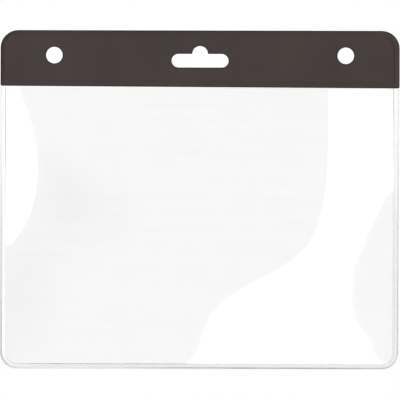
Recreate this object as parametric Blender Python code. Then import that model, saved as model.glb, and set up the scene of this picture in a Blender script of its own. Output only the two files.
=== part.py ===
"""Landscape badge holder of soft PVC film, modelled in metres with +Z up.

The holder hangs upright and its front faces -Y. The origin is the middle of the strap slot,
halfway through the back film.

Pieces, from back to front:
    back_film     clear film at full height, punched with the strap slot and two round holes
    colour_bar    opaque strip on the front of the header, punched by the same tools
    pocket_weld   bead that joins the two clear films on the left, the bottom and the right
    front_window  clear film of the pocket, with its lip just under the bar
"""

import math

import bmesh
import bpy

# Outline of the whole holder
HOLDER_WIDTH = 0.1120
HOLDER_HEIGHT = 0.0950
TOP_CORNER_RADIUS = 0.0050
BOTTOM_CORNER_RADIUS = 0.0046

# Thickness of each film
BACK_FILM_GAUGE = 0.00030
BAR_FILM_GAUGE = 0.00035
WINDOW_FILM_GAUGE = 0.00030

# Header bar: its height, and the weld line that the electrode presses into its front
BAR_HEIGHT = 0.0158
WELD_LINE_WIDTH = 0.0005
WELD_LINE_DEPTH = 0.0001
WELD_LINE_CORNER_RADIUS = 0.0010

# Strap slot: a long slot with round ends, and a half-round bump over its middle
SLOT_LENGTH = 0.0160
SLOT_HEIGHT = 0.00383
SLOT_BUMP_RADIUS = 0.00221
SLOT_TOP_MARGIN = 0.00656

# Round holes for a chain or a second clip
HOLE_DIAMETER = 0.00466
HOLE_SIDE_MARGIN = 0.0151
HOLE_TOP_MARGIN = 0.0070

# Pocket: the room between its films, its weld and its mouth under the bar
POCKET_DEPTH = 0.0009
WELD_WIDTH = 0.0015
WELD_ROUNDING = 0.0004
MOUTH_SLIT = 0.00055
LIP_CORNER_RADIUS = 0.0005

# Clearance between pieces that lie against each other, and how far a cutter overruns
SEAT_GAP = 0.0003
CUT_OVERRUN = 0.0010
MERGE_DISTANCE = 0.000002

# Smoothness of round stretches
QUARTER_STEPS = 10
HOLE_SIDES = 32
ROUNDING_SEGMENTS = 3
SMOOTH_ANGLE_DEGREES = 35.0

# Heights, measured from the middle of the strap slot
TOP_Z = SLOT_TOP_MARGIN + SLOT_HEIGHT / 2
BOTTOM_Z = TOP_Z - HOLDER_HEIGHT
BAR_BOTTOM_Z = TOP_Z - BAR_HEIGHT
LIP_Z = BAR_BOTTOM_Z - MOUTH_SLIT
HOLE_Z = TOP_Z - HOLE_TOP_MARGIN
HOLE_X = HOLDER_WIDTH / 2 - HOLE_SIDE_MARGIN

# Depths of the faces, from the middle of the back film towards the front
BACK_FILM_FRONT_Y = -BACK_FILM_GAUGE / 2
BAR_BACK_Y = BACK_FILM_FRONT_Y - SEAT_GAP
BAR_FRONT_Y = BAR_BACK_Y - BAR_FILM_GAUGE
WELD_BACK_Y = BACK_FILM_FRONT_Y - SEAT_GAP
WINDOW_BACK_Y = BACK_FILM_FRONT_Y - POCKET_DEPTH
WINDOW_FRONT_Y = WINDOW_BACK_Y - WINDOW_FILM_GAUGE

# Colours and surfaces, as (red, green, blue), roughness and opacity
CLEAR_FILM_COLOUR = (0.90, 0.91, 0.91)
CLEAR_FILM_ROUGHNESS = 0.12
CLEAR_FILM_OPACITY = 0.30
WELD_COLOUR = (0.86, 0.87, 0.87)
WELD_ROUGHNESS = 0.20
WELD_OPACITY = 0.45
BAR_COLOUR = (0.067, 0.050, 0.047)
BAR_ROUGHNESS = 0.42
SOLID_OPACITY = 1.0


def clear_scene():
    """Removes every object that is in the scene."""
    for leftover in list(bpy.data.objects):
        bpy.data.objects.remove(leftover, do_unlink=True)


def new_collection(name):
    """A collection of that name in the scene."""
    collection = bpy.data.collections.new(name)
    bpy.context.scene.collection.children.link(collection)
    return collection


def plastic(name, colour, roughness, opacity):
    """A Principled material of one plastic."""
    material = bpy.data.materials.new(name)
    material.use_nodes = True
    shader = material.node_tree.nodes["Principled BSDF"]
    shader.inputs["Base Color"].default_value = (*colour, 1.0)
    shader.inputs["Roughness"].default_value = roughness
    shader.inputs["Metallic"].default_value = 0.0
    shader.inputs["Alpha"].default_value = opacity
    return material


def arc(centre_x, centre_z, radius, start_degrees, end_degrees):
    """Points (x, z) along an arc, both ends included. A radius of zero gives the corner alone."""
    if radius <= 0:
        return [(centre_x, centre_z)]
    turn = abs(end_degrees - start_degrees)
    steps = max(1, round(QUARTER_STEPS * turn / 90))
    points = []
    for step in range(steps + 1):
        angle = math.radians(start_degrees + (end_degrees - start_degrees) * step / steps)
        points.append((centre_x + radius * math.cos(angle), centre_z + radius * math.sin(angle)))
    return points


def rounded_rectangle(half_width, bottom_z, top_z, bottom_radius, top_radius):
    """Points round a rectangle whose lower and upper corners have their own radii."""
    points = arc(half_width - bottom_radius, bottom_z + bottom_radius, bottom_radius, -90, 0)
    points += arc(half_width - top_radius, top_z - top_radius, top_radius, 0, 90)
    points += arc(top_radius - half_width, top_z - top_radius, top_radius, 90, 180)
    points += arc(bottom_radius - half_width, bottom_z + bottom_radius, bottom_radius, 180, 270)
    return points


def open_u(half_width, bottom_z, top_z, corner_radius):
    """Points down the left, along the bottom and up the right, with round lower corners."""
    points = [(-half_width, top_z)]
    points += arc(corner_radius - half_width, bottom_z + corner_radius, corner_radius, 180, 270)
    points += arc(half_width - corner_radius, bottom_z + corner_radius, corner_radius, 270, 360)
    points.append((half_width, top_z))
    return points


def strap_slot_outline():
    """Points round the strap slot, whose bump's centre lies on the slot's upper edge."""
    end_radius = SLOT_HEIGHT / 2
    end_x = SLOT_LENGTH / 2 - end_radius
    points = arc(end_x, 0, end_radius, -90, 90)
    points += arc(0, end_radius, SLOT_BUMP_RADIUS, 0, 180)
    points += arc(-end_x, 0, end_radius, 90, 270)
    return points


def extruded_sheet(name, outlines, front_y, back_y, collection):
    """A flat solid in the XZ plane, between two depths. Outlines after the first are its holes."""
    profile = bpy.data.curves.new(name + "_profile", "CURVE")
    profile.dimensions = "2D"
    profile.fill_mode = "BOTH"
    profile.extrude = (back_y - front_y) / 2
    for points in outlines:
        spline = profile.splines.new("POLY")
        spline.points.add(len(points) - 1)
        for point, (x, z) in zip(spline.points, points):
            point.co = (x, z, 0, 1)
        spline.use_cyclic_u = True

    drawing = bpy.data.objects.new(name + "_drawing", profile)
    drawing.location = (0, (front_y + back_y) / 2, 0)
    drawing.rotation_euler = (math.radians(90), 0, 0)
    collection.objects.link(drawing)
    bpy.context.view_layer.update()
    evaluated = drawing.evaluated_get(bpy.context.evaluated_depsgraph_get())
    mesh = bpy.data.meshes.new_from_object(evaluated)
    mesh.name = name

    sheet = bpy.data.objects.new(name, mesh)
    sheet.matrix_world = drawing.matrix_world.copy()
    collection.objects.link(sheet)
    bpy.data.objects.remove(drawing, do_unlink=True)
    bpy.data.curves.remove(profile)

    body = bmesh.new()
    body.from_mesh(mesh)
    bmesh.ops.remove_doubles(body, verts=body.verts, dist=MERGE_DISTANCE)
    bmesh.ops.recalc_face_normals(body, faces=body.faces)
    body.to_mesh(mesh)
    body.free()
    return sheet


def round_front_edges(sheet, radius):
    """Rounds the edges between a sheet's front face and its side walls."""
    body = bmesh.new()
    body.from_mesh(sheet.data)
    # a sheet is drawn flat and then stood up, so its front is the side of high local z
    edges = [
        edge
        for edge in body.edges
        if min(vert.co.z for vert in edge.verts) > 0
        and edge.calc_face_angle() > math.radians(SMOOTH_ANGLE_DEGREES)
    ]
    bmesh.ops.bevel(
        body,
        geom=edges,
        offset=radius,
        offset_type="OFFSET",
        segments=ROUNDING_SEGMENTS,
        profile=0.5,
        affect="EDGES",
        clamp_overlap=True,
    )
    body.to_mesh(sheet.data)
    body.free()


def as_cutter(tool):
    """Marks an object as a tool that cuts others and isn't part of the holder."""
    tool.hide_render = True
    tool.display_type = "WIRE"
    return tool


def cut(sheet, tools):
    """Cuts every tool of a collection out of a sheet."""
    boolean = sheet.modifiers.new(tools.name, "BOOLEAN")
    boolean.operation = "DIFFERENCE"
    boolean.solver = "EXACT"
    boolean.operand_type = "COLLECTION"
    boolean.collection = tools


def finish(sheet, material):
    """Gives a piece its material, and smooth shading on its round stretches."""
    sheet.data.materials.clear()
    sheet.data.materials.append(material)
    sheet.data.shade_smooth()
    sheet.data.set_sharp_from_angle(angle=math.radians(SMOOTH_ANGLE_DEGREES))


def make_header_punches(collection):
    """The three tools that go through the bar and the back film in one stroke."""
    front_y = BAR_FRONT_Y - CUT_OVERRUN
    back_y = BACK_FILM_GAUGE / 2 + CUT_OVERRUN
    as_cutter(
        extruded_sheet("slot_punch", [strap_slot_outline()], front_y, back_y, collection)
    )
    for side, name in ((-1, "left_hole_punch"), (1, "right_hole_punch")):
        bpy.ops.mesh.primitive_cylinder_add(
            vertices=HOLE_SIDES,
            radius=HOLE_DIAMETER / 2,
            depth=back_y - front_y,
            location=(side * HOLE_X, (front_y + back_y) / 2, HOLE_Z),
            rotation=(math.radians(90), 0, 0),
        )
        punch = bpy.context.active_object
        punch.name = name
        for holder in list(punch.users_collection):
            holder.objects.unlink(punch)
        collection.objects.link(punch)
        as_cutter(punch)


def make_weld_line_electrode(collection):
    """A ring that presses the weld line into the front of the bar, all round."""
    rings = []
    for inset in (WELD_WIDTH - WELD_LINE_WIDTH / 2, WELD_WIDTH + WELD_LINE_WIDTH / 2):
        rings.append(
            rounded_rectangle(
                HOLDER_WIDTH / 2 - inset,
                BAR_BOTTOM_Z + inset,
                TOP_Z - inset,
                WELD_LINE_CORNER_RADIUS,
                max(TOP_CORNER_RADIUS - inset, 0),
            )
        )
    as_cutter(
        extruded_sheet(
            "weld_line_electrode",
            rings,
            BAR_FRONT_Y - CUT_OVERRUN,
            BAR_FRONT_Y + WELD_LINE_DEPTH,
            collection,
        )
    )


def make_back_film(parts, punches, material):
    """The clear film at full height, behind the bar and the pocket."""
    outline = rounded_rectangle(
        HOLDER_WIDTH / 2, BOTTOM_Z, TOP_Z, BOTTOM_CORNER_RADIUS, TOP_CORNER_RADIUS
    )
    film = extruded_sheet(
        "back_film", [outline], BACK_FILM_FRONT_Y, BACK_FILM_GAUGE / 2, parts
    )
    cut(film, punches)
    finish(film, material)


def make_colour_bar(parts, punches, electrodes, material):
    """The opaque strip on the header: round upper corners, square lower ones."""
    outline = rounded_rectangle(HOLDER_WIDTH / 2, BAR_BOTTOM_Z, TOP_Z, 0, TOP_CORNER_RADIUS)
    bar = extruded_sheet("colour_bar", [outline], BAR_FRONT_Y, BAR_BACK_Y, parts)
    cut(bar, punches)
    cut(bar, electrodes)
    finish(bar, material)


def make_pocket_weld(parts, material):
    """The bead round three sides of the pocket, from the bar down and back up to it."""
    arm_top_z = BAR_BOTTOM_Z - SEAT_GAP
    outer = open_u(HOLDER_WIDTH / 2, BOTTOM_Z, arm_top_z, BOTTOM_CORNER_RADIUS)
    inner = open_u(
        HOLDER_WIDTH / 2 - WELD_WIDTH,
        BOTTOM_Z + WELD_WIDTH,
        arm_top_z,
        max(BOTTOM_CORNER_RADIUS - WELD_WIDTH, 0),
    )
    bead = extruded_sheet(
        "pocket_weld", [outer + inner[::-1]], WINDOW_FRONT_Y, WELD_BACK_Y, parts
    )
    round_front_edges(bead, WELD_ROUNDING)
    finish(bead, material)


def make_front_window(parts, material):
    """The clear front film, inside the weld and with its lip just under the bar."""
    inset = WELD_WIDTH + SEAT_GAP
    outline = rounded_rectangle(
        HOLDER_WIDTH / 2 - inset,
        BOTTOM_Z + inset,
        LIP_Z,
        max(BOTTOM_CORNER_RADIUS - inset, 0),
        LIP_CORNER_RADIUS,
    )
    film = extruded_sheet("front_window", [outline], WINDOW_FRONT_Y, WINDOW_BACK_Y, parts)
    finish(film, material)


def main():
    """Builds the badge holder."""
    clear_scene()
    parts = new_collection("badge_holder")
    punches = new_collection("header_punches")
    electrodes = new_collection("weld_electrodes")
    clear_film = plastic(
        "clear_pvc_film", CLEAR_FILM_COLOUR, CLEAR_FILM_ROUGHNESS, CLEAR_FILM_OPACITY
    )
    weld = plastic("welded_pvc", WELD_COLOUR, WELD_ROUGHNESS, WELD_OPACITY)
    bar_film = plastic("dark_brown_pvc_film", BAR_COLOUR, BAR_ROUGHNESS, SOLID_OPACITY)

    make_header_punches(punches)
    make_weld_line_electrode(electrodes)
    make_back_film(parts, punches, clear_film)
    make_colour_bar(parts, punches, electrodes, bar_film)
    make_pocket_weld(parts, weld)
    make_front_window(parts, clear_film)


main()
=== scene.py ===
"""Landscape badge holder of soft PVC film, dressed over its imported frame.

The holder hangs upright by its strap slot and its front faces -Y. Lengths are in metres.
Four pieces give the looks, and each stands for one CAD node and lies in its place:
    back_sheet    clear film at full height, with the slot and the holes punched through
    header_bar    dark opaque strip, with the weld line pressed into its front
    window_sheet  clear front film, which stands off the back film in a soft swell
    weld_bead     clear fused border on the left, the bottom and the right of the pocket
"""

import logging
import math
from dataclasses import dataclass, field
from enum import Enum
from itertools import pairwise

import bmesh
import bpy
import numpy as np
from bmesh.types import BMEdge, BMesh, BMVert
from bpy.types import Material, Node, NodeSocket, NodeTree, Object
from mathutils import Matrix, Vector


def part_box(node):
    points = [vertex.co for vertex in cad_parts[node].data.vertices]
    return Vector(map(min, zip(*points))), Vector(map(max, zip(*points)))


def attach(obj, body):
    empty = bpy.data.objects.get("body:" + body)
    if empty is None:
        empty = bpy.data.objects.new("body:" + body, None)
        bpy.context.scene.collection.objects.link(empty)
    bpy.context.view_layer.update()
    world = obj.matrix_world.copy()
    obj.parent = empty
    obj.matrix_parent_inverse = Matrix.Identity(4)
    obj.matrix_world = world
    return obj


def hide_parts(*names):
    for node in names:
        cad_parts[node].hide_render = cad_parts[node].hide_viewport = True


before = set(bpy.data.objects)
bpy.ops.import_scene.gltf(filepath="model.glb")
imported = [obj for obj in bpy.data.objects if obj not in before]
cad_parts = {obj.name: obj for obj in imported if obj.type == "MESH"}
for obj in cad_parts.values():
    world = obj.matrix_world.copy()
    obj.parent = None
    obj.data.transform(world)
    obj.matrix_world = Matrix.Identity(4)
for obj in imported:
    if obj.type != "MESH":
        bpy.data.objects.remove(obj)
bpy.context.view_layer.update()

log = logging.getLogger("badge_holder")

MM = 0.001
BODY = "root"
MERGE_MM = 0.001
HAIR_MM = 0.0005
BEARING_CENTRE_MM = -7.0
WHITE = (1.0, 1.0, 1.0, 1.0)

Ring = list[BMEdge]
Pair = tuple[float, float]


class Slot(Enum):
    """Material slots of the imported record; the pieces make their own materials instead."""

    FILM = "clear_film"
    BAR = "bar_film"
    WELD = "weld_bead"


def linear_colour(code: str) -> tuple[float, float, float, float]:
    """Turns an sRGB hex colour into the linear values that shaders take.

    Args:
        code: The colour as "#RRGGBB".

    Returns:
        Red, green and blue in linear light, and a full alpha.
    """
    values = []
    for start in (1, 3, 5):
        share = int(code[start : start + 2], 16) / 255
        values.append(share / 12.92 if share <= 0.04045 else ((share + 0.055) / 1.055) ** 2.4)
    return (values[0], values[1], values[2], 1.0)


def add_node(tree: NodeTree, kind: str, inputs: dict | None = None, **settings: object) -> Node:
    """Adds a node with its settings, and fills or links its inputs.

    Args:
        tree: The node tree that takes the node.
        kind: The node's type.
        inputs: A value or an output socket for each input, by the input's name or number.
            None leaves an input as it is.
        settings: The node's own properties.

    Returns:
        The new node.
    """
    node = tree.nodes.new(kind)
    for name, value in settings.items():
        setattr(node, name, value)
    for key, value in (inputs or {}).items():
        if isinstance(value, NodeSocket):
            tree.links.new(value, node.inputs[key])
        elif value is not None:
            node.inputs[key].default_value = value
    return node


def blank_material(name: str) -> tuple[Material, NodeTree, NodeSocket]:
    """Makes a material that holds only its coordinates in millimetres.

    Args:
        name: The material's name.

    Returns:
        The material, its node tree, and the socket of the coordinates.
    """
    material = bpy.data.materials.new(name)
    material.use_nodes = True
    tree = material.node_tree
    tree.nodes.clear()
    place = add_node(tree, "ShaderNodeTexCoord")
    scaled = add_node(
        tree,
        "ShaderNodeMapping",
        {"Vector": place.outputs["Object"], "Scale": (1 / MM, 1 / MM, 1 / MM)},
    )
    return material, tree, scaled.outputs["Vector"]


def add_object(name: str, data: bpy.types.ID) -> Object:
    """Makes an object and puts it into the scene.

    Args:
        name: The object's name.
        data: Its mesh, camera or light.

    Returns:
        The object.
    """
    thing = bpy.data.objects.new(name, data)
    bpy.context.scene.collection.objects.link(thing)
    return thing


def mottle(
    tree: NodeTree,
    place: NodeSocket,
    size_mm: float,
    span: Pair,
    ends: Pair = (0.0, 1.0),
    detail: float = 2.0,
    roughness: float = 0.5,
) -> tuple[NodeSocket, NodeSocket]:
    """Adds a cloudy pattern, and a level that follows it from one value to another.

    Args:
        tree: The material's node tree.
        place: The coordinates in millimetres.
        size_mm: Size of the clouds.
        span: The part of the pattern's range over which the level changes.
        ends: The level at the start and at the end of that part.
        detail: How many finer layers the pattern has.
        roughness: How strong these are.

    Returns:
        The sockets of the pattern and of the level.
    """
    cloud = add_node(
        tree,
        "ShaderNodeTexNoise",
        {"Vector": place, "Scale": 1 / size_mm, "Detail": detail, "Roughness": roughness},
    ).outputs["Fac"]
    limits = {"From Min": span[0], "From Max": span[1], "To Min": ends[0], "To Max": ends[1]}
    level = add_node(tree, "ShaderNodeMapRange", {"Value": cloud, **limits})
    return cloud, level.outputs["Result"]


def dimples(
    tree: NodeTree,
    place: NodeSocket,
    size_mm: float,
    height_mm: float,
    detail: float = 1.0,
    under: NodeSocket | None = None,
) -> NodeSocket:
    """Gives a surface shallow dimples.

    Args:
        tree: The material's node tree.
        place: The coordinates in millimetres.
        size_mm: Size of the dimples.
        height_mm: How high they stand.
        detail: How many finer layers they have.
        under: The normal that they are added to, or None for the mesh's own.

    Returns:
        The socket with the bumped normal.
    """
    cloud = add_node(
        tree, "ShaderNodeTexNoise", {"Vector": place, "Scale": 1 / size_mm, "Detail": detail}
    )
    inputs = {"Height": cloud.outputs["Fac"], "Distance": height_mm * MM, "Normal": under}
    return add_node(tree, "ShaderNodeBump", inputs).outputs["Normal"]


def level_along_weld(tree: NodeTree, place: NodeSocket, stops: tuple[Pair, ...]) -> NodeSocket:
    """A grey level that changes along the weld, by the bearing from the middle of the lip.

    Args:
        tree: The material's node tree.
        place: The coordinates in millimetres.
        stops: Pairs of a share of the way and the level there, in rising order. The share is
            0 at the left end, 0.5 at the bottom's middle and 1 at the right end.

    Returns:
        The socket with the level.
    """
    parts = add_node(tree, "ShaderNodeSeparateXYZ", {"Vector": place})
    drop = add_node(
        tree,
        "ShaderNodeMath",
        {0: parts.outputs["Z"], 1: BEARING_CENTRE_MM},
        operation="SUBTRACT",
    )
    bearing = add_node(
        tree,
        "ShaderNodeMath",
        {0: drop.outputs["Value"], 1: parts.outputs["X"]},
        operation="ARCTAN2",
    )
    share = add_node(
        tree,
        "ShaderNodeMapRange",
        {"Value": bearing.outputs["Value"], "From Min": -math.pi, "From Max": 0.0},
    )
    ramp = add_node(tree, "ShaderNodeValToRGB", {"Fac": share.outputs["Result"]})
    elements = ramp.color_ramp.elements
    while len(elements) < len(stops):
        elements.new(1.0)
    for element, (position, level) in zip(elements, stops):
        element.position = position
        element.color = (level, level, level, 1.0)
    return ramp.outputs["Color"]


def facing_fresnel(tree: NodeTree, ior: float, normal: NodeSocket) -> NodeSocket:
    """The share of light that one surface of a film mirrors, alike from inside and outside.

    Light crosses a thin film without turning, so its inner side takes the inverse index: the
    node itself inverts it there once more, and no angle is mirrored in full.

    Args:
        tree: The material's node tree.
        ior: The film's refractive index.
        normal: The bumped normal.

    Returns:
        The socket with the mirrored share.
    """
    side = add_node(tree, "ShaderNodeNewGeometry")
    index = add_node(
        tree,
        "ShaderNodeMapRange",
        {"Value": side.outputs["Backfacing"], "To Min": ior, "To Max": 1 / ior},
    ).outputs["Result"]
    return add_node(tree, "ShaderNodeFresnel", {"IOR": index, "Normal": normal}).outputs["Fac"]


@dataclass(frozen=True)
class CalenderedClearFilm:
    """Clear plasticised PVC film, rolled between polished steel cylinders.

    The rolling leaves it glossy, with a faint drift of haze along the roll, a shallow peel
    and the smears of handling. The film shows what lies behind it and mirrors the studio.
    Where it is fused, a table can add grey haze that changes along the weld: painted shade.
    """

    name: str
    tint: str = "#FEFEFE"
    haze_colour: str = "#EAEAEA"
    ior: float = 1.54
    roughness: float = 0.015
    roughness_drift: float = 0.01
    least_haze: float = 0.002
    most_haze: float = 0.010
    haze_span: Pair = (0.15, 0.40)
    smear_mm: float = 14.0
    smear_span: Pair = (0.35, 0.65)
    streak_mm: float = 3.0
    streak_length_mm: float = 45.0
    peel_mm: float = 4.0
    peel_height_mm: float = 0.0006
    # Painted shade: grey haze along the weld, as pairs of a share of the way and a level.
    painted_shade_levels: tuple[Pair, ...] = ()

    def material(self) -> Material:
        """Builds the material.

        Returns:
            The material.
        """
        material, tree, place = blank_material(self.name)
        smear, roughness = mottle(
            tree,
            place,
            self.smear_mm,
            self.smear_span,
            (self.roughness, self.roughness + self.roughness_drift),
            detail=3.0,
            roughness=0.55,
        )
        scale = (1 / self.streak_length_mm, 1 / self.streak_mm, 1 / self.streak_mm)
        along = add_node(tree, "ShaderNodeMapping", {"Vector": place, "Scale": scale})
        streak = add_node(
            tree,
            "ShaderNodeTexNoise",
            {"Vector": along.outputs["Vector"], "Scale": 1.0, "Detail": 2.0},
        )
        drift = add_node(
            tree, "ShaderNodeMath", {0: smear, 1: streak.outputs["Fac"]}, operation="MULTIPLY"
        )
        haze = add_node(
            tree,
            "ShaderNodeMapRange",
            {
                "Value": drift.outputs["Value"],
                "From Min": self.haze_span[0],
                "From Max": self.haze_span[1],
                "To Min": self.least_haze,
                "To Max": self.most_haze,
            },
        ).outputs["Result"]
        # Painted shade: grey haze added along the weld by the table.
        if self.painted_shade_levels:
            painted_shade_haze = level_along_weld(tree, place, self.painted_shade_levels)
            haze = add_node(
                tree, "ShaderNodeMath", {0: haze, 1: painted_shade_haze}, operation="ADD"
            ).outputs["Value"]
        normal = dimples(tree, place, self.peel_mm, self.peel_height_mm)
        clear = add_node(
            tree, "ShaderNodeBsdfTransparent", {"Color": linear_colour(self.tint)}
        )
        mirror = add_node(
            tree,
            "ShaderNodeBsdfAnisotropic",
            {"Color": WHITE, "Roughness": roughness, "Normal": normal},
        )
        share = facing_fresnel(tree, self.ior, normal)
        film = add_node(
            tree,
            "ShaderNodeMixShader",
            {0: share, 1: clear.outputs["BSDF"], 2: mirror.outputs["BSDF"]},
        )
        body = add_node(
            tree,
            "ShaderNodeBsdfPrincipled",
            {
                "Base Color": linear_colour(self.haze_colour),
                "Roughness": roughness,
                "IOR": self.ior,
            },
        )
        whole = add_node(
            tree,
            "ShaderNodeMixShader",
            {0: haze, 1: film.outputs["Shader"], 2: body.outputs["BSDF"]},
        )
        add_node(tree, "ShaderNodeOutputMaterial", {"Surface": whole.outputs["Shader"]})
        return material


@dataclass(frozen=True)
class CutFilmEdge:
    """The edge of clear PVC where a knife or the welding tool has parted it.

    The tool leaves it faintly frosted, so that it reads as a thin grey line round the film.
    How much grey there is changes along the weld by a table. Along the fused bead that change
    is painted shade, laid over the real frost of the cut.
    """

    name: str
    # Shares of grey along the weld; along the bead their change is painted shade.
    covers: tuple[Pair, ...]
    colour: str = "#7E7E7E"
    ior: float = 1.54
    roughness: float = 0.35
    nick_mm: float = 9.0
    nick_span: Pair = (0.3, 0.7)
    nick_share: float = 0.3

    def material(self) -> Material:
        """Builds the material.

        Returns:
            The material.
        """
        material, tree, place = blank_material(self.name)
        # Grey along the weld from the table: along the bead, painted shade over the frost.
        frost = level_along_weld(tree, place, self.covers)
        ends = (1 - self.nick_share / 2, 1 + self.nick_share / 2)
        _, uneven = mottle(tree, place, self.nick_mm, self.nick_span, ends)
        cover = add_node(
            tree,
            "ShaderNodeMath",
            {0: frost, 1: uneven},
            operation="MULTIPLY",
            use_clamp=True,
        )
        clear = add_node(tree, "ShaderNodeBsdfTransparent", {"Color": WHITE})
        frosted = add_node(
            tree,
            "ShaderNodeBsdfPrincipled",
            {
                "Base Color": linear_colour(self.colour),
                "Roughness": self.roughness,
                "IOR": self.ior,
            },
        )
        whole = add_node(
            tree,
            "ShaderNodeMixShader",
            {0: cover.outputs["Value"], 1: clear.outputs["BSDF"], 2: frosted.outputs["BSDF"]},
        )
        add_node(tree, "ShaderNodeOutputMaterial", {"Surface": whole.outputs["Shader"]})
        return material


@dataclass(frozen=True)
class PigmentedBarFilm:
    """Dark brown plasticised PVC film, calendered with a satin roll.

    The roll's fine grain breaks the gloss into a soft sheen, and the pigment drifts a little
    in depth from place to place. Real grain is near 0.1 mm; here it is drawn five times as
    coarse, so that it shows.
    """

    name: str
    deep_colour: str = "#392D2B"
    light_colour: str = "#3F3330"
    ior: float = 1.53
    specular_level: float = 0.3
    roughness: float = 0.42
    roughness_drift: float = 0.10
    drift_mm: float = 16.0
    drift_span: Pair = (0.35, 0.65)
    grain_mm: float = 0.5
    grain_span: Pair = (0.3, 0.7)
    grain_height_mm: float = 0.004
    sag_mm: float = 11.0
    sag_height_mm: float = 0.02

    def material(self) -> Material:
        """Builds the material.

        Returns:
            The material.
        """
        material, tree, place = blank_material(self.name)
        _, drift = mottle(
            tree, place, self.drift_mm, self.drift_span, detail=3.0, roughness=0.6
        )
        colour = add_node(
            tree,
            "ShaderNodeMix",
            {
                "Factor": drift,
                "A": linear_colour(self.deep_colour),
                "B": linear_colour(self.light_colour),
            },
            data_type="RGBA",
        )
        ends = (self.roughness, self.roughness + self.roughness_drift)
        _, roughness = mottle(tree, place, self.grain_mm, self.grain_span, ends)
        soft = dimples(tree, place, self.sag_mm, self.sag_height_mm)
        fine = dimples(tree, place, self.grain_mm, self.grain_height_mm, 2.0, soft)
        body = add_node(
            tree,
            "ShaderNodeBsdfPrincipled",
            {
                "Base Color": colour.outputs["Result"],
                "Roughness": roughness,
                "IOR": self.ior,
                "Specular IOR Level": self.specular_level,
                "Normal": fine,
            },
        )
        add_node(tree, "ShaderNodeOutputMaterial", {"Surface": body.outputs["BSDF"]})
        return material


@dataclass(frozen=True)
class Arc:
    """A round stretch of an outline, seen from the front. A radius of zero is a point."""

    x: float
    z: float
    radius: float
    start: float = 0.0
    end: float = 0.0


@dataclass(frozen=True)
class Plate:
    """The outline of a rectangular sheet with round corners.

    Its lower or upper edge may fall to the right, where the sheet was cut out of square.
    """

    half_width: float
    low: float
    high: float
    low_radius: float
    high_radius: float
    low_fall: float = 0.0
    high_fall: float = 0.0
    least_radius: float = 0.4 * MM

    def arcs(self, inset: float) -> list[Arc]:
        """The outline's corners, counterclockwise from the lower right.

        Args:
            inset: How far the outline is drawn inside the sheet's edge.

        Returns:
            Four arcs.
        """
        low_radius = max(self.low_radius - inset, self.least_radius)
        high_radius = max(self.high_radius - inset, self.least_radius)
        low_x = self.half_width - inset - low_radius
        high_x = self.half_width - inset - high_radius
        low_z = self.low + inset + low_radius
        high_z = self.high - inset - high_radius
        return [
            Arc(low_x, low_z - self.low_fall / 2, low_radius, -90, 0),
            Arc(high_x, high_z - self.high_fall / 2, high_radius, 0, 90),
            Arc(-high_x, high_z + self.high_fall / 2, high_radius, 90, 180),
            Arc(-low_x, low_z + self.low_fall / 2, low_radius, 180, 270),
        ]


@dataclass(frozen=True)
class RoundHole:
    """A punched round hole."""

    x: float
    z: float
    radius: float

    def arcs(self, inset: float) -> list[Arc]:
        """The hole's outline, drawn outside its wall by the inset."""
        return [Arc(self.x, self.z, self.radius + inset, 0, 360)]


@dataclass(frozen=True)
class StrapSlot:
    """A punched slot with round ends, and a half-round bump on the middle of its upper edge."""

    length: float
    height: float
    bump_radius: float

    def arcs(self, inset: float) -> list[Arc]:
        """The slot's outline, drawn outside its wall by the inset.

        Args:
            inset: How far the outline is drawn outside the slot's wall.

        Returns:
            The right end, the bump and the left end.
        """
        end_radius = self.height / 2
        end_x = self.length / 2 - end_radius
        bump_radius = self.bump_radius + inset
        foot = math.degrees(math.asin(inset / bump_radius))
        return [
            Arc(end_x, 0, end_radius + inset, -90, 90),
            Arc(0, end_radius, bump_radius, foot, 180 - foot),
            Arc(-end_x, 0, end_radius + inset, 90, 270),
        ]


@dataclass(frozen=True)
class BorderPath:
    """The path of the weld: down the left, along the bottom and up the right.

    The weld is a little wider at the lower left and on the right than at the upper left.
    """

    left: float
    right: float
    low: float
    high: float
    radius: float
    left_spread: float = 1.1
    right_spread: float = 1.06
    least_radius: float = 0.05 * MM

    def arcs(self, inset: float) -> list[Arc]:
        """The path, drawn inside the holder's edge by the inset.

        Args:
            inset: How far the path is drawn inside the holder's edge.

        Returns:
            The left end, two corners and the right end.
        """
        radius = max(self.radius - inset, self.least_radius)
        left = self.left + inset * self.left_spread
        right = self.right - inset * self.right_spread
        turn_z = self.low + inset + radius
        return [
            Arc(self.left + inset, self.high, 0),
            Arc(left + radius, turn_z, radius, 180, 270),
            Arc(right - radius, turn_z, radius, 270, 360),
            Arc(right, self.high, 0),
        ]


@dataclass(frozen=True)
class Station:
    """One stop of a cross-section: how far inside the edge, how deep, and in which finish."""

    inset: float
    depth: float
    finish: int = 0

    def towards(self, other: "Station", distance: float, finish: int = 0) -> "Station":
        """A stop on the straight way from this one to another.

        Args:
            other: Where the way leads.
            distance: How far along it, as a change of inset.
            finish: Material index of the band that ends at the new stop.

        Returns:
            The new stop.
        """
        share = distance / abs(other.inset - self.inset)
        return Station(
            self.inset + (other.inset - self.inset) * share,
            self.depth + (other.depth - self.depth) * share,
            finish,
        )


def rounded_edge(
    front: float, back: float, radius: float, support: float, finish: int, segments: int = 3
) -> list[Station]:
    """The cross-section of a sheet's rounded edge, from its back face to its front face.

    Args:
        front: Depth of the front face.
        back: Depth of the back face.
        radius: Radius of the two rounded corners.
        support: Width of the flat rim beside them, which keeps the faces' shading flat.
        finish: Material index of the rounded corners and the wall.
        segments: Steps round each corner.

    Returns:
        The stations, with the wall between the two corners.
    """
    stations = [Station(radius + support, back)]
    for step in range(segments + 1):
        angle = math.radians(90 * step / segments)
        inset = radius * (1 - math.sin(angle))
        stations.append(Station(inset, back - radius * (1 - math.cos(angle)), finish))
    for step in range(segments + 1):
        angle = math.radians(90 * step / segments)
        inset = radius * (1 - math.cos(angle))
        stations.append(Station(inset, front + radius * (1 - math.sin(angle)), finish))
    stations.append(Station(radius + support, front, finish))
    return stations


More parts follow.
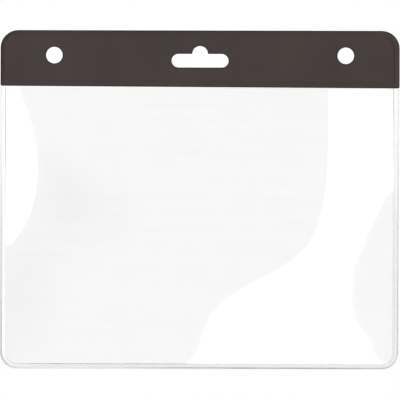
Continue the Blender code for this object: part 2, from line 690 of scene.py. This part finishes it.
class Workpiece:
    """A mesh in the making, shaped by tracing, bridging and filling rings of edges.

    Blender's mesh operators compare lengths with fixed tolerances that are coarse for thin
    film in metres. So the mesh is made in millimetres, and its coordinates are brought to
    metres when it is finished.
    """

    def __init__(self, name: str, steps_per_quarter: int = 8) -> None:
        """Starts an empty mesh.

        Args:
            name: The piece's name.
            steps_per_quarter: Straight steps in a quarter turn of an arc.
        """
        self.name = name
        self.steps_per_quarter = steps_per_quarter
        self.mesh = bmesh.new()

    def trace(self, arcs: list[Arc], depth: float, closed: bool = True) -> Ring:
        """Draws arcs one after another at one depth, joined by straight edges.

        Args:
            arcs: The arcs, counterclockwise seen from the front.
            depth: The y of the ring.
            closed: Whether the last arc joins the first.

        Returns:
            The ring's edges.
        """
        known = set(self.mesh.edges)
        ends = []
        for arc in arcs:
            angle = math.radians(arc.start)
            centre = Vector((arc.x, depth, arc.z)) / MM
            spoke = Vector((math.cos(angle), 0, math.sin(angle))) * arc.radius / MM
            first = self.mesh.verts.new(centre + spoke)
            last = first
            if arc.radius > 0:
                turn = arc.end - arc.start
                steps = max(2, round(self.steps_per_quarter * turn / 90))
                if turn >= 360:
                    turn -= turn / steps
                    steps -= 1
                spun = bmesh.ops.spin(
                    self.mesh,
                    geom=[first],
                    cent=centre,
                    axis=(0, -1, 0),
                    angle=math.radians(turn),
                    steps=steps,
                    use_merge=False,
                    use_duplicate=False,
                )
                last = next(v for v in spun["geom_last"] if isinstance(v, BMVert))
            ends.append((first, last))
        for (_, before), (after, _) in pairwise(ends):
            self.mesh.edges.new((before, after))
        if closed:
            self.mesh.edges.new((ends[-1][1], ends[0][0]))
        return [edge for edge in self.mesh.edges if edge not in known]

    def bridge(self, one: Ring, other: Ring, finish: int) -> None:
        """Joins two rings by a band of faces.

        Args:
            one: The edges of one ring.
            other: The edges of the other.
            finish: Material index of the band.
        """
        band = bmesh.ops.bridge_loops(self.mesh, edges=one + other)
        for face in band["faces"]:
            face.material_index = finish

    def sweep(
        self, outline: Plate | RoundHole | StrapSlot, stations: list[Station]
    ) -> tuple[Ring, Ring]:
        """Leads a cross-section round an outline.

        Every second ring lies a hair nearer to the front: two rings in one plane have no
        direction from one to the other, and bridging may then turn one of them over.

        Args:
            outline: The outline.
            stations: The cross-section.

        Returns:
            The edges of the first ring and of the last.
        """
        rings = [
            self.trace(outline.arcs(stop.inset), stop.depth - HAIR_MM * MM * (turn % 2))
            for turn, stop in enumerate(stations)
        ]
        for (one, other), stop in zip(pairwise(rings), stations[1:]):
            self.bridge(one, other, stop.finish)
        return rings[0], rings[-1]

    def fill(self, rings: list[Ring], towards: float) -> None:
        """Closes the face between an outer ring and the rings of its holes.

        Args:
            rings: The rings, all at one depth.
            towards: -1 for a face that looks to the front, 1 for one that looks to the back.
        """
        edges = [edge for ring in rings for edge in ring]
        bmesh.ops.triangle_fill(
            self.mesh, edges=edges, use_beauty=True, use_dissolve=False, normal=(0, towards, 0)
        )

    def finish(self, materials: list[Material], sharp_degrees: float = 50.0) -> Object:
        """Turns the mesh into an object with its materials and smooth shading.

        Args:
            materials: Materials in the order of the faces' material indices.
            sharp_degrees: Edges that bend more than this stay sharp.

        Returns:
            The object, at the origin.
        """
        bmesh.ops.remove_doubles(self.mesh, verts=self.mesh.verts, dist=MERGE_MM)
        bmesh.ops.recalc_face_normals(self.mesh, faces=self.mesh.faces)
        bmesh.ops.scale(self.mesh, vec=(MM, MM, MM), verts=self.mesh.verts)
        data = bpy.data.meshes.new(self.name)
        self.mesh.to_mesh(data)
        self.mesh.free()
        for material in materials:
            data.materials.append(material)
        data.shade_smooth()
        data.set_sharp_from_angle(angle=math.radians(sharp_degrees))
        return add_object(self.name, data)


def hand_over(piece: Object, node: str) -> Object:
    """Puts a piece on the holder's body in place of a CAD node.

    Args:
        piece: The finished piece.
        node: The CAD node that it stands for.

    Returns:
        The piece.
    """
    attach(piece, BODY)
    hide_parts(node)
    return piece


@dataclass
class Punches:
    """The slot and the two round holes, which go through the bar and the back film alike."""

    slot_length: float = 16.0 * MM
    slot_height: float = 3.83 * MM
    bump_radius: float = 2.21 * MM
    hole_diameter: float = 4.66 * MM
    hole_side_margin: float = 15.1 * MM
    hole_top_margin: float = 7.0 * MM

    def outlines(self) -> list[StrapSlot | RoundHole]:
        """The openings of the header.

        Returns:
            The slot, the left hole and the right hole.
        """
        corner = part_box("back_film")[1]
        x = corner.x - self.hole_side_margin
        z = corner.z - self.hole_top_margin
        return [
            StrapSlot(self.slot_length, self.slot_height, self.bump_radius),
            RoundHole(-x, z, self.hole_diameter / 2),
            RoundHole(x, z, self.hole_diameter / 2),
        ]


@dataclass
class BackSheet:
    """The clear film at full height behind the bar and the pocket."""

    film: Material
    punches: Punches
    top_radius: float = 5.0 * MM
    bottom_radius: float = 4.6 * MM
    edge_rounding: float = 0.12 * MM
    support: float = 0.10 * MM

    def build(self) -> Object:
        """Models the sheet and hands it over.

        Returns:
            The piece.
        """
        low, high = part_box("back_film")
        work = Workpiece("back_sheet")
        plate = Plate(high.x, low.z, high.z, self.bottom_radius, self.top_radius)
        stations = rounded_edge(low.y, high.y, self.edge_rounding, self.support, finish=0)
        rings = [
            work.sweep(outline, stations) for outline in [plate, *self.punches.outlines()]
        ]
        work.fill([back for back, _ in rings], 1)
        work.fill([front for _, front in rings], -1)
        return hand_over(work.finish([self.film]), "back_film")


@dataclass
class HeaderBar:
    """The dark strip welded to the front of the header."""

    film: Material
    edge: Material
    punches: Punches
    top_radius: float = 5.0 * MM
    bottom_radius: float = 0.5 * MM
    fall: float = 0.5 * MM
    drop: float = 0.08 * MM
    edge_rounding: float = 0.10 * MM
    support: float = 0.12 * MM
    seat_gap: float = 0.02 * MM
    weld_line_inset: float = 1.15 * MM
    weld_line_floor: float = 0.30 * MM
    weld_line_depth: float = 0.17 * MM
    weld_line_wall: float = 0.40 * MM
    crease: float = 0.05 * MM

    def stations(self, front: float, back: float) -> list[Station]:
        """The cross-section of the outer edge, with the pressed weld line inside it.

        The rim outside the line curls up to the edge, and the line's inner wall is steeper.

        Args:
            front: Depth of the bar's front face.
            back: Depth of its back face.

        Returns:
            The stations from the back face to the front face inside the weld line.
        """
        rounded = rounded_edge(front, back, self.edge_rounding, self.support, finish=1)
        rim = rounded[-1]
        floor = front + self.weld_line_depth
        outer = Station(self.weld_line_inset - self.weld_line_floor / 2, floor)
        inner = Station(self.weld_line_inset + self.weld_line_floor / 2, floor)
        top = Station(inner.inset + self.weld_line_wall, front)
        return [
            *rounded,
            rim.towards(outer, self.crease),
            outer.towards(rim, self.crease),
            outer,
            inner,
            inner.towards(top, self.crease),
            top.towards(inner, self.crease),
            top,
            Station(top.inset + self.support, front),
        ]

    def build(self) -> Object:
        """Models the bar and hands it over.

        Returns:
            The piece.
        """
        low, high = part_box("colour_bar")
        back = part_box("back_film")[0].y - self.seat_gap
        work = Workpiece("header_bar")
        bottom = low.z - self.drop
        plate = Plate(
            high.x, bottom, high.z, self.bottom_radius, self.top_radius, low_fall=self.fall
        )
        rim = rounded_edge(low.y, back, self.edge_rounding, self.support, finish=1)
        rings = [work.sweep(plate, self.stations(low.y, back))]
        rings += [work.sweep(outline, rim) for outline in self.punches.outlines()]
        work.fill([back_ring for back_ring, _ in rings], 1)
        work.fill([front_ring for _, front_ring in rings], -1)
        return hand_over(work.finish([self.film, self.edge]), "colour_bar")


@dataclass(frozen=True)
class SoftBox:
    """A rectangular studio light behind the camera, placed by its nearest edge."""

    name: str
    bearing: float
    near: float
    depth: float
    length: float
    slide: float
    radiance: float


LEFT_BOX = SoftBox("left_soft_box", 169.0, 1.12, 1.5, 2.9, 0.0, 3.2)
RIGHT_BOX = SoftBox("right_soft_box", -48.0, 0.54, 0.80, 2.5, 0.66, 3.0)


@dataclass(frozen=True)
class GlintEdge:
    """Where the near edge of a soft box is mirrored on the film.

    The places are in millimetres across and up, read off the real one to half a millimetre.
    """

    box: SoftBox
    places: tuple[Pair, ...]


@dataclass
class Swell:
    """How far the pocket's front film stands off its weld.

    The film is held down along the left, the bottom and the right, and free at the lip. Its
    swell is a sum of bends in two shares: across, from -1 at the left weld to 1 at the right,
    and up, from 0 at the bottom weld to 1 at the lip. The film takes the form with the least
    bending that mirrors the soft boxes' near edges at the places where the real one is seen
    to mirror the edges of its own lights. Its stiffness is how much a bend of one per metre
    counts beside a miss of one metre at the soft boxes.
    """

    studio: "Studio"
    half_width: float
    low: float
    high: float
    degree: int = 4
    stiffness: float = 0.0003
    slope_step: float = 0.01 * MM
    curve_step: float = 0.5 * MM
    columns: int = 21
    rows: int = 15
    glints: tuple[GlintEdge, ...] = (
        GlintEdge(
            LEFT_BOX,
            (
                (-48.5, -14.0), (-46.5, -22.0), (-45.5, -30.5), (-46.5, -39.0),
                (-50.0, -47.5), (-53.0, -51.5),
            ),
        ),
        GlintEdge(
            RIGHT_BOX,
            (
                (36.0, -9.5), (36.0, -19.5), (35.5, -30.0), (35.0, -40.0),
                (31.5, -50.0), (25.5, -56.5), (18.0, -60.0), (12.5, -63.5),
                (5.5, -70.0), (1.0, -77.0), (-2.0, -83.5),
            ),
        ),
        GlintEdge(
            RIGHT_BOX,
            (
                (52.0, -39.0), (47.5, -47.5), (44.5, -56.0), (43.0, -64.5),
                (45.0, -72.5), (48.0, -81.0),
            ),
        ),
    )
    sizes: np.ndarray = field(init=False)

    def __post_init__(self) -> None:
        """Works out how large each bend is, by least squares."""
        equations = [self.mirrored(edge.box, place) for edge in self.glints for place in edge.places]
        equations += self.curvatures()
        factors = np.array([row for row, _ in equations])
        targets = np.array([target for _, target in equations])
        self.sizes = np.linalg.lstsq(factors, targets, rcond=None)[0]

    def bends(self, x: float, z: float) -> np.ndarray:
        """How far each bend lifts the film at a place, if its size is 1.

        Args:
            x: The place across.
            z: The place up.

        Returns:
            One lift for each bend.
        """
        across = x / self.half_width
        up = (z - self.low) / (self.high - self.low)
        held = (1 - across**2) * up * (2 - up)
        powers = [(i, j) for i in range(self.degree + 1) for j in range(self.degree + 1 - i)]
        return held * np.array([across**i * up**j for i, j in powers])

    def mirrored(self, box: SoftBox, place: Pair) -> tuple[np.ndarray, float]:
        """The equation of a place that mirrors the near edge of a soft box.

        Args:
            box: The soft box.
            place: The place across and up, in millimetres.

        Returns:
            What each bend adds, and what they add up to.
        """
        x, z = (value * MM for value in place)
        angle = math.radians(box.bearing)
        outward = (math.cos(angle), math.sin(angle))
        step = self.slope_step
        slope_x = (self.bends(x + step, z) - self.bends(x - step, z)) / (2 * step)
        slope_z = (self.bends(x, z + step) - self.bends(x, z - step)) / (2 * step)
        reach = self.studio.box_distance
        flat = (reach / self.studio.camera_distance() + 1) * (
            outward[0] * x + outward[1] * (z - self.studio.axis_height())
        )
        factors = 2 * reach * (outward[0] * slope_x + outward[1] * slope_z)
        return factors, flat - box.near

    def curvatures(self) -> list[tuple[np.ndarray, float]]:
        """The equations of a film without bending, which count a little all over it.

        Returns:
            For each equation, what each bend adds and what they add up to.
        """
        step = self.curve_step
        equations = []
        side = self.half_width - 2 * step
        for x in np.linspace(-side, side, self.columns):
            for z in np.linspace(self.low + 2 * step, self.high - 2 * step, self.rows):
                middle = 2 * self.bends(x, z)
                along = self.bends(x + step, z) + self.bends(x - step, z) - middle
                upward = self.bends(x, z + step) + self.bends(x, z - step) - middle
                twist = self.bends(x + step, z + step) - self.bends(x + step, z - step)
                twist += self.bends(x - step, z - step) - self.bends(x - step, z + step)
                for change in (along, upward, twist / math.sqrt(8)):
                    equations.append((self.stiffness * change / step**2, 0.0))
        return equations

    def height(self, x: float, z: float) -> float:
        """The film's stand-off at a place, in metres."""
        return float(self.bends(x, z) @ self.sizes)


@dataclass
class WindowSheet:
    """The clear front film of the pocket."""

    film: Material
    edge: Material
    studio: "Studio"
    thickness: float = 0.25 * MM
    stand_off: float = 0.20 * MM
    side_tuck: float = 1.62 * MM
    bottom_tuck: float = 1.42 * MM
    bottom_radius: float = 3.2 * MM
    lip_radius: float = 0.5 * MM
    lip_rise: float = 0.24 * MM
    lip_fall: float = 0.5 * MM
    lip_chamfer: float = 0.10 * MM
    crease_degrees: float = 30.0
    grid: float = 1.6 * MM
    rim_lean: float = 0.95
    mouth_bend: float = 1.0

    def build(self) -> Object:
        """Models the film and hands it over.

        Returns:
            The piece.
        """
        back_low, back_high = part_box("back_film")
        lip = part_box("front_window")[1].z + self.lip_rise
        half_width = back_high.x - self.side_tuck
        bottom = back_low.z + self.bottom_tuck
        work = Workpiece("window_sheet", steps_per_quarter=6)
        plate = Plate(
            half_width, bottom, lip, self.bottom_radius, self.lip_radius, high_fall=self.lip_fall
        )
        ring = work.trace(plate.arcs(0), 0)
        bmesh.ops.contextual_create(work.mesh, geom=ring)
        self.slice(work.mesh, Vector((1, 0, 0)), -half_width, half_width)
        self.slice(work.mesh, Vector((0, 0, 1)), bottom, lip)

        swell = Swell(self.studio, half_width, bottom, lip)
        face = back_low.y - self.stand_off
        for vert in work.mesh.verts:
            vert.co.y = (face - swell.height(vert.co.x * MM, vert.co.z * MM)) / MM
        bmesh.ops.recalc_face_normals(work.mesh, faces=work.mesh.faces)
        if sum(item.normal.y for item in work.mesh.faces) > 0:
            bmesh.ops.reverse_faces(work.mesh, faces=work.mesh.faces)
        bmesh.ops.solidify(work.mesh, geom=work.mesh.faces[:], thickness=-self.thickness / MM)
        bmesh.ops.recalc_face_normals(work.mesh, faces=work.mesh.faces)
        mouth = [
            item
            for item in work.mesh.edges
            if item.calc_face_angle(0) > self.mouth_bend
            and min(vert.co.z for vert in item.verts) * MM > lip - self.lip_fall
        ]
        bmesh.ops.bevel(
            work.mesh,
            geom=mouth,
            offset=self.lip_chamfer / MM,
            segments=1,
            profile=0.5,
            affect="EDGES",
            material=-1,
        )
        for item in work.mesh.faces:
            item.material_index = 0 if abs(item.normal.y) > self.rim_lean else 1
        piece = work.finish([self.film, self.edge], self.crease_degrees)
        return hand_over(piece, "front_window")

    def slice(self, mesh: BMesh, along: Vector, start: float, end: float) -> None:
        """Cuts the flat film into strips, so that it can swell.

        Args:
            mesh: The film.
            along: The direction across the cuts.
            start: Where the film starts along it.
            end: Where it ends.
        """
        count = round((end - start) / self.grid)
        for step in range(1, count):
            bmesh.ops.bisect_plane(
                mesh,
                geom=[*mesh.verts, *mesh.edges, *mesh.faces],
                dist=MERGE_MM,
                plane_co=along * (start + (end - start) * step / count) / MM,
                plane_no=along,
            )


@dataclass
class WeldBead:
    """The border where the two clear films are fused round the pocket."""

    bead: Material
    edge: Material
    shoulder: Material
    brow: Material
    corner_radius: float = 4.6 * MM
    right_trim: float = 0.20 * MM
    seat_gap: float = 0.01 * MM
    wall_height: float = 0.50 * MM
    edge_inset: float = 0.10 * MM
    edge_height: float = 0.72 * MM
    brow_inset: float = 0.27 * MM
    brow_height: float = 0.92 * MM
    brow_split: float = 0.15 * MM
    crown_height: float = 1.05 * MM
    crown_rise: float = 0.055 * MM
    crown_start: float = 0.60 * MM
    crown_end: float = 1.32 * MM
    crown_rim: float = 0.05 * MM
    shoulder_inset: float = 1.44 * MM
    shoulder_height: float = 0.92 * MM
    foot_inset: float = 1.52 * MM
    foot_height: float = 0.62 * MM
    foot_lift: float = 0.10 * MM
    heel_chamfer: float = 0.05 * MM

    def stations(self, seat: float) -> list[Station]:
        """The bead's cross-section, which falls a little from its inner side to its outer.

        Args:
            seat: Depth of the back film's front face.

        Returns:
            The stations round the section.
        """
        back = seat - self.seat_gap
        rim_rise = self.crown_rise * self.crown_rim / (self.crown_end - self.crown_start)
        low = seat - self.crown_height
        high = low - self.crown_rise
        brow = Station(self.brow_inset, seat - self.brow_height, 1)
        crown = Station(self.crown_start, low, 3)
        return [
            Station(self.heel_chamfer, back),
            Station(0.0, back - self.heel_chamfer),
            Station(0.0, seat - self.wall_height),
            Station(self.edge_inset, seat - self.edge_height),
            brow,
            brow.towards(crown, self.brow_split, 1),
            crown,
            Station(self.crown_start + self.crown_rim, low - rim_rise),
            Station(self.crown_end - self.crown_rim, high + rim_rise),
            Station(self.crown_end, high),
            Station(self.shoulder_inset, seat - self.shoulder_height, 2),
            Station(self.foot_inset, seat - self.foot_height, 2),
            Station(self.foot_inset, seat - self.foot_lift),
            Station(self.shoulder_inset, back),
        ]

    def build(self) -> Object:
        """Models the border and hands it over.

        Returns:
            The piece.
        """
        low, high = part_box("pocket_weld")
        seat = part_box("back_film")[0].y
        work = Workpiece("weld_bead")
        path = BorderPath(low.x, high.x - self.right_trim, low.z, high.z, self.corner_radius)
        stations = self.stations(seat)
        chains = [work.trace(path.arcs(stop.inset), stop.depth, closed=False) for stop in stations]
        chains.append(chains[0])
        for (one, other), stop in zip(pairwise(chains), [*stations[1:], stations[0]]):
            work.bridge(one, other, stop.finish)
        loose = [edge for edge in work.mesh.edges if edge.is_boundary]
        bmesh.ops.holes_fill(work.mesh, edges=loose)
        piece = work.finish([self.bead, self.edge, self.shoulder, self.brow])
        return hand_over(piece, "pocket_weld")


@dataclass(frozen=True)
class Zone:
    """A soft zone of the room's directions, and its level there as a share.

    Its reach is how far it goes to each side, and 0 is for an axis that it doesn't end on.
    From 0 at its rim to 1 in its middle, it starts at the first value of its edge and is
    full from the second.
    """

    middle: tuple[float, float, float]
    reach: tuple[float, float, float]
    edge: Pair
    level: float


@dataclass
class Studio:
    """The floor, the light and the camera round the holder."""

    lens_mm: float = 600.0
    sensor_mm: float = 36.0
    holder_px: float = 399.1
    picture_px: float = 400.0
    roll_degrees: float = 0.14
    shift_x: float = 0.07 * MM
    shift_z: float = -0.07 * MM
    box_distance: float = 12.0
    clip_end: float = 20.0
    floor_drop: float = 0.30
    floor_radius: float = 0.5
    floor_steps: int = 96
    floor_colours: tuple[str, str] = ("#F1F1F0", "#F6F6F5")
    floor_cloud_mm: float = 300.0
    floor_roughness: float = 0.9
    fill_from: tuple[float, float, float] = (-0.35, 0.0, 0.94)
    fill_least: float = 0.45
    fill_most: float = 1.35
    room_level: float = 0.62
    far_share: float = 0.30
    dark_spot: Zone = Zone((-0.056, 0.0, -0.012), (0.06, 0.0, 0.045), (0.0, 1.0), 0.0)
    near_wall: Zone = Zone((0.0, 0.0, 0.0), (0.20, 0.0, 0.20), (0.0, 0.5), 1.0)
    low_band: Zone = Zone((0.0, 0.0, -0.34), (0.0, 0.0, 0.16), (0.4, 0.6), 2.2)
    high_glow: Zone = Zone((-0.45, 0.0, 0.45), (0.60, 0.0, 0.60), (0.1, 0.4), 2.6)
    boxes: tuple[SoftBox, ...] = (LEFT_BOX, RIGHT_BOX)

    def axis_height(self) -> float:
        """Height of the camera's axis, the middle of the holder."""
        low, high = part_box("back_film")
        return (low.z + high.z) / 2

    def camera_distance(self) -> float:
        """How far the camera stands in front of the holder."""
        low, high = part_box("back_film")
        picture_width = (high.x - low.x) * self.picture_px / self.holder_px
        return picture_width * self.lens_mm / self.sensor_mm

    def add_camera(self) -> None:
        """Places the camera square in front of the holder, at the photo's roll."""
        distance = self.camera_distance()
        data = bpy.data.cameras.new("camera")
        data.lens = self.lens_mm
        data.sensor_width = self.sensor_mm
        data.clip_end = self.clip_end
        camera = add_object("camera", data)
        upright = Matrix.Rotation(math.radians(90), 4, "X")
        roll = Matrix.Rotation(math.radians(self.roll_degrees), 4, "Z")
        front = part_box("colour_bar")[0].y
        height = self.axis_height() + self.shift_z
        place = Matrix.Translation((self.shift_x, front - distance, height))
        camera.matrix_world = place @ upright @ roll
        bpy.context.scene.camera = camera
        log.info("camera %.2f m in front of the holder", distance)

    def add_box(self, box: SoftBox) -> None:
        """Hangs one soft box behind the camera.

        Args:
            box: The soft box, by its bearing round the camera's axis in degrees, and by its
                nearest edge's distance from the axis and its size in metres.
        """
        angle = math.radians(box.bearing)
        outward = Vector((math.cos(angle), 0, math.sin(angle)))
        sideways = Vector((-math.sin(angle), 0, math.cos(angle)))
        middle = outward * (box.near + box.depth / 2)
        middle += sideways * box.slide
        middle += Vector((0, -self.box_distance, self.axis_height()))
        data = bpy.data.lights.new(box.name, "AREA")
        data.shape = "RECTANGLE"
        data.size = box.depth
        data.size_y = box.length
        data.energy = box.radiance * math.pi * box.depth * box.length
        light = add_object(box.name, data)
        turn = Matrix((outward, sideways, Vector((0, -1, 0)))).transposed().to_4x4()
        light.matrix_world = Matrix.Translation(middle) @ turn

    def add_floor(self) -> None:
        """Lays a plain pale disc under the holder."""
        mesh = bmesh.new()
        bmesh.ops.create_circle(
            mesh,
            cap_ends=True,
            segments=self.floor_steps,
            radius=self.floor_radius,
            matrix=Matrix.Translation((0, 0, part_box("back_film")[0].z - self.floor_drop)),
        )
        data = bpy.data.meshes.new("floor")
        mesh.to_mesh(data)
        mesh.free()
        material, tree, place = blank_material("matt_pale_floor")
        cloud = add_node(
            tree,
            "ShaderNodeTexNoise",
            {"Vector": place, "Scale": 1 / self.floor_cloud_mm, "Detail": 2.0},
        )
        dark, pale = (linear_colour(code) for code in self.floor_colours)
        tone = add_node(
            tree,
            "ShaderNodeMix",
            {"Factor": cloud.outputs["Fac"], "A": dark, "B": pale},
            data_type="RGBA",
        )
        paint = add_node(
            tree,
            "ShaderNodeBsdfPrincipled",
            {"Base Color": tone.outputs["Result"], "Roughness": self.floor_roughness},
        )
        add_node(tree, "ShaderNodeOutputMaterial", {"Surface": paint.outputs["BSDF"]})
        data.materials.append(material)
        floor = add_object("floor", data)

    def add_zone(
        self, tree: NodeTree, way: NodeSocket, zone: Zone, outside: float | NodeSocket
    ) -> NodeSocket:
        """Sets a soft zone into the room that glossy things mirror.

        Args:
            tree: The world's node tree.
            way: The socket of the direction.
            zone: The zone.
            outside: The level outside it.

        Returns:
            The socket with the level.
        """
        scale = [1 / reach if reach else 0.0 for reach in zone.reach]
        aimed = add_node(
            tree,
            "ShaderNodeMapping",
            {
                "Vector": way,
                "Location": [-middle * share for middle, share in zip(zone.middle, scale)],
                "Scale": scale,
            },
        )
        spread = add_node(
            tree,
            "ShaderNodeTexGradient",
            {"Vector": aimed.outputs["Vector"]},
            gradient_type="SPHERICAL",
        )
        level = add_node(
            tree,
            "ShaderNodeMapRange",
            {
                "Value": spread.outputs["Fac"],
                "From Min": zone.edge[0],
                "From Max": zone.edge[1],
                "To Min": outside,
                "To Max": zone.level,
            },
            interpolation_type="SMOOTHSTEP",
        )
        return level.outputs["Result"]

    def add_surroundings(self) -> None:
        """Lights the room: a white backdrop to the eye, and a dimmer room to what is glossy."""
        world = bpy.data.worlds.new("studio")
        world.use_nodes = True
        tree = world.node_tree
        tree.nodes.clear()
        ray = add_node(tree, "ShaderNodeLightPath")
        way = add_node(tree, "ShaderNodeTexCoord")
        shade = self.add_zone(tree, way.outputs["Generated"], self.dark_spot, self.room_level)
        wall = self.far_share
        for zone in (self.high_glow, self.low_band, self.near_wall):
            wall = self.add_zone(tree, way.outputs["Generated"], zone, wall)
        level = add_node(tree, "ShaderNodeMath", {0: shade, 1: wall}, operation="MULTIPLY")
        facing = add_node(
            tree,
            "ShaderNodeVectorMath",
            {0: way.outputs["Generated"], 1: self.fill_from},
            operation="DOT_PRODUCT",
        )
        side = add_node(
            tree,
            "ShaderNodeMapRange",
            {
                "Value": facing.outputs["Value"],
                "From Min": -1.0,
                "From Max": 1.0,
                "To Min": self.fill_least,
                "To Max": self.fill_most,
            },
        )
        fill, room, backdrop = (
            add_node(
                tree, "ShaderNodeBackground", {"Color": WHITE, "Strength": strength}
            ).outputs["Background"]
            for strength in (side.outputs["Result"], level.outputs["Value"], 1.0)
        )
        lit = add_node(
            tree, "ShaderNodeMixShader", {0: ray.outputs["Is Glossy Ray"], 1: fill, 2: room}
        )
        seen = add_node(
            tree,
            "ShaderNodeMixShader",
            {0: ray.outputs["Is Camera Ray"], 1: lit.outputs["Shader"], 2: backdrop},
        )
        add_node(tree, "ShaderNodeOutputWorld", {"Surface": seen.outputs["Shader"]})
        bpy.context.scene.world = world
        bpy.context.scene.view_settings.view_transform = "Standard"

    def build(self) -> None:
        """Sets up the studio."""
        self.add_surroundings()
        self.add_floor()
        for box in self.boxes:
            self.add_box(box)
        self.add_camera()


def main() -> None:
    """Builds the dressed holder and its studio."""
    logging.basicConfig(level=logging.INFO, format="%(message)s")
    window_film = CalenderedClearFilm(
        "calendered_clear_pvc_film",
        roughness=0.006,
        roughness_drift=0.003,
        peel_height_mm=0.00025,
    ).material()
    back_film = CalenderedClearFilm(
        "satin_rolled_clear_pvc_film", roughness=0.30, roughness_drift=0.05
    ).material()
    fused = CalenderedClearFilm(
        "fused_pvc_with_painted_shade",
        tint="#FDFDFD",
        haze_colour="#9A9A9A",
        roughness=0.09,
        peel_height_mm=0.002,
        # The grey haze along the weld is painted shade: none on the left, a little along the bottom,
        # most on the lower right.
        painted_shade_levels=((0.29, 0.0), (0.34, 0.05), (0.66, 0.05), (0.72, 0.08), (0.79, 0.07), (0.92, 0.0)),
    ).material()
    # Outer edge of the bead: grey that is partly the frost of the cut and partly painted shade,
    # clear at the top of both sides and darkest along the bottom and at the lower corners.
    cut_edge = CutFilmEdge(
        "frost_and_painted_shade_on_cut_fused_pvc_edge",
        (
            (0.0, 0.0), (0.12, 0.05), (0.30, 0.42), (0.33, 0.15), (0.37, 0.15), (0.50, 0.50),
            (0.56, 0.70), (0.64, 0.75), (0.70, 0.36), (0.80, 0.26), (0.93, 0.04),
        ),
    ).material()
    # Brow of the bead: frost with painted shade, clear at the upper left and on the right, darkest
    # at the lower left corner and the bottom's middle.
    brow = CutFilmEdge(
        "frost_and_painted_shade_on_fused_pvc_brow",
        (
            (0.0, 0.0), (0.12, 0.05), (0.30, 0.40), (0.33, 0.15), (0.37, 0.15), (0.50, 0.44),
            (0.57, 0.20), (0.66, 0.12), (0.80, 0.0),
        ),
    ).material()
    # Inner shoulder of the bead: its grey is painted shade for the dark room seen through the steep
    # slope, darkest at the upper left, the lower left and the top of the right.
    shoulder = CutFilmEdge(
        "painted_shade_on_fused_pvc_shoulder",
        (
            (0.0, 0.36), (0.10, 0.42), (0.13, 0.15), (0.20, 0.0), (0.30, 0.06), (0.35, 0.70),
            (0.45, 0.58), (0.52, 0.28), (0.64, 0.22), (0.74, 0.0), (0.88, 0.0), (0.96, 0.46),
        ),
    ).material()
    # The lip's grey grows a little towards its right end.
    lip_edge = CutFilmEdge("knife_cut_lip_of_clear_pvc", ((0.0, 0.05), (1.0, 0.12))).material()
    bar_film = PigmentedBarFilm("satin_calendered_brown_pvc_film").material()
    # The bar's cut rim is painted near black: painted shade that keeps its rounding dark where it
    # would catch the fill light, round the bar's edges, the slot and the holes.
    painted_shade_bar_rim = PigmentedBarFilm(
        "painted_shade_on_cut_brown_pvc_edge",
        deep_colour="#15100F",
        light_colour="#1A1412",
        specular_level=0.15,
    ).material()

    punches = Punches()
    studio = Studio()
    for assembly in (
        BackSheet(back_film, punches),
        HeaderBar(bar_film, painted_shade_bar_rim, punches),
        WindowSheet(window_film, lip_edge, studio),
        WeldBead(fused, cut_edge, shoulder, brow),
    ):
        piece = assembly.build()
        log.info("%s is in place, with %d faces", piece.name, len(piece.data.polygons))
    studio.build()


if __name__ == "__main__":
    main()
